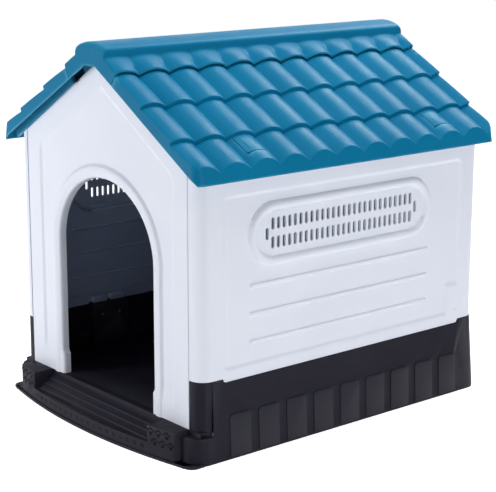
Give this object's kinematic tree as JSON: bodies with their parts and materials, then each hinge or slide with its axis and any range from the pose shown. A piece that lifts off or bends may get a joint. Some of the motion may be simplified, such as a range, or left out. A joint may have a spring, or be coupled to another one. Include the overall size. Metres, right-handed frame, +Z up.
{
  "type": "outdoor pet house",
  "caption": "Outdoor pet house with a moulded tray base, arched doorway, slotted side vents and a tiled gable roof whose panels lift on pivots under the ridge cap.",
  "frame": {"origin": "centre of the overall footprint box, on the floor plane", "axes": "+Z up, -Y the way the doorway faces, +X to the right for someone facing the doorway"},
  "size_m": [0.708, 0.882, 0.817],
  "materials": {
    "base_plastic": "fine grain, charcoal",
    "wall_plastic": "fine grain, cool white",
    "roof_plastic": "satin, blue",
    "screw_steel": "plain zinc plated"
  },
  "bodies": {
    "house": {"base_tray": "base_plastic", "front_panel": "wall_plastic", "rear_panel": "wall_plastic", "side_panel_right": "wall_plastic", "side_panel_left": "wall_plastic", "ridge_cap": "roof_plastic", "corner_screws_front_left": "screw_steel", "corner_screws_front_right": "screw_steel", "corner_screws_rear_left": "screw_steel", "corner_screws_rear_right": "screw_steel", "socket_screws_left": "screw_steel", "socket_screws_right": "screw_steel", "socket_screws_rear": "screw_steel", "front_foot_screws": "screw_steel", "ridge_screw_front": "screw_steel", "ridge_screw_rear": "screw_steel"},
    "roof_right": {"roof_panel_right": "roof_plastic"},
    "roof_left": {"roof_panel_left": "roof_plastic"},
    "latch_right_front": {"roof_latch_right_front": "roof_plastic"},
    "latch_right_rear": {"roof_latch_right_rear": "roof_plastic"},
    "latch_left_front": {"roof_latch_left_front": "roof_plastic"},
    "latch_left_rear": {"roof_latch_left_rear": "roof_plastic"}
  },
  "joints": [
    {"name": "roof_right_lift", "type": "hinge", "parent": "house", "child": "roof_right", "pos_m": [0.08244, 0.0215, 0.75842], "axis": [0, -1, 0], "range_deg": [0, 30]},
    {"name": "roof_left_lift", "type": "hinge", "parent": "house", "child": "roof_left", "pos_m": [-0.08244, 0.0215, 0.75842], "axis": [0, 1, 0], "range_deg": [0, 30]},
    {"name": "latch_right_front_press", "type": "hinge", "parent": "roof_right", "child": "latch_right_front", "pos_m": [0.27287, -0.2225, 0.62905], "axis": [0, 1, 0], "range_deg": [0, 5], "stiffness_Nm_per_rad": 0.5, "springref_deg": -3.44},
    {"name": "latch_right_rear_press", "type": "hinge", "parent": "roof_right", "child": "latch_right_rear", "pos_m": [0.27287, 0.3039, 0.62905], "axis": [0, 1, 0], "range_deg": [0, 5], "stiffness_Nm_per_rad": 0.5, "springref_deg": -3.44},
    {"name": "latch_left_front_press", "type": "hinge", "parent": "roof_left", "child": "latch_left_front", "pos_m": [-0.27287, -0.2609, 0.62905], "axis": [0, -1, 0], "range_deg": [0, 5], "stiffness_Nm_per_rad": 0.5, "springref_deg": -3.44},
    {"name": "latch_left_rear_press", "type": "hinge", "parent": "roof_left", "child": "latch_left_rear", "pos_m": [-0.27287, 0.2655, 0.62905], "axis": [0, -1, 0], "range_deg": [0, 5], "stiffness_Nm_per_rad": 0.5, "springref_deg": -3.44}
  ]
}
